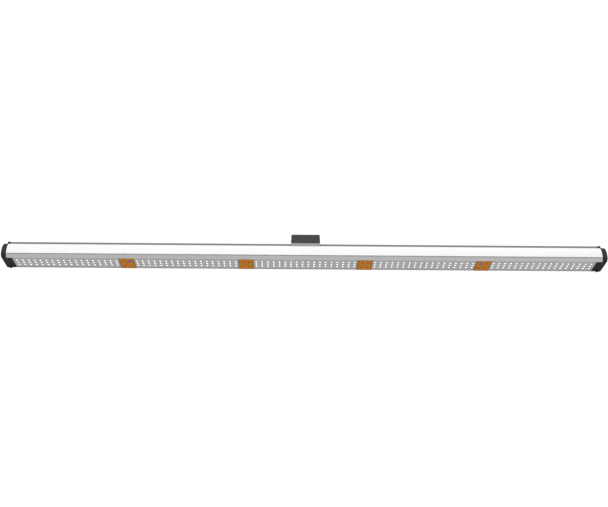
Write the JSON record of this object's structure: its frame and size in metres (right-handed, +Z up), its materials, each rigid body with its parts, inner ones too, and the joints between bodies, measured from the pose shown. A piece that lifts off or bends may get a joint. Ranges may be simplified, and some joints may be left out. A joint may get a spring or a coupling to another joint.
{
  "type": "led grow light",
  "caption": "Slim hanging LED grow light bar with a curved white housing, white and amber LED boards underneath, black end caps and a sliding top hanger.",
  "frame": {"origin": "centre of the hanger saddle's top face, between its two bolt holes", "axes": "+X along the bar, towards the outlet end; -Y is the bar's front; +Z up, towards what carries the lamp"},
  "size_m": [1.203, 0.0576, 0.0624],
  "materials": {
    "cover_white": "white powder coat, fine satin",
    "base_shell": "pale powder coat on extruded aluminium",
    "rail_grey": "satin anodised",
    "clamp_grey": "satin anodised, a shade darker than the rail",
    "seal_grey": "grey silicone strip",
    "saddle_dark": "dark grey powder coat",
    "cap_black": "moulded, fine texture",
    "gasket_rubber": "matt",
    "black_screws": "black oxide",
    "steel_screws": "zinc plated",
    "bronze_screws": "bronzed steel",
    "board_white": "white solder mask",
    "led_white": "white reflector with a pale yellow phosphor window",
    "board_amber": "amber brown solder mask",
    "led_red": "red window, satin",
    "led_blue": "violet blue window, satin",
    "thermal_pad": "matt",
    "connector_white": "moulded",
    "tray_steel": "zinc plated sheet",
    "driver_green": "green solder mask",
    "ferrite": "sintered, matt",
    "copper_winding": "enamelled copper wire",
    "capacitor_sleeve": "shrink sleeve",
    "heatsink_aluminium": "mill finish",
    "chip_black": "epoxy package",
    "terminal_green": "moulded",
    "pin_brass": "tin plated brass",
    "mains_wire": "PVC insulation",
    "led_wire": "PVC insulation"
  },
  "bodies": {
    "bracket": {"clamp_base": "clamp_grey", "hanger_saddle": "saddle_dark", "saddle_screws": "steel_screws", "clamp_screws": "steel_screws", "hanger_nuts": "steel_screws"},
    "lamp": {"accent_board_1": "board_amber", "accent_board_2": "board_amber", "accent_board_3": "board_amber", "accent_board_4": "board_amber", "blue_leds": "led_blue", "board_connectors": "connector_white", "board_standoffs": "tray_steel", "cap_gasket_left": "gasket_rubber", "cap_gasket_right": "gasket_rubber", "cap_screws_left": "black_screws", "cap_screws_right": "black_screws", "driver_board": "driver_green", "driver_capacitors": "capacitor_sleeve", "driver_choke": "copper_winding", "driver_heatsink": "heatsink_aluminium", "driver_screws": "steel_screws", "driver_terminals": "terminal_green", "driver_transistors": "chip_black", "driver_tray": "tray_steel", "earth_screw": "steel_screws", "end_cap_left": "cap_black", "end_cap_right": "cap_black", "housing_base": "base_shell", "housing_cover": "cover_white", "inlet_pins": "pin_brass", "led_board_1": "board_white", "led_board_2": "board_white", "led_board_3": "board_white", "led_board_4": "board_white", "led_board_5": "board_white", "led_wires": "led_wire", "link_socket": "cap_black", "link_wires": "mains_wire", "mains_wires": "mains_wire", "module_screws": "bronze_screws", "power_inlet": "cap_black", "rail_screws": "steel_screws", "rail_stop_left": "cap_black", "rail_stop_right": "cap_black", "red_leds": "led_red", "seam_seals": "seal_grey", "thermal_pads": "thermal_pad", "top_rail": "rail_grey", "transformer_core": "ferrite", "transformer_winding": "copper_winding", "tray_screws": "steel_screws", "white_leds_1": "led_white", "white_leds_2": "led_white", "white_leds_3": "led_white", "white_leds_4": "led_white", "white_leds_5": "led_white"}
  },
  "joints": [
    {"name": "bracket_slide", "type": "slide", "parent": "bracket", "child": "lamp", "axis": [1, 0, 0], "range_m": [-0.56, 0.56]}
  ]
}
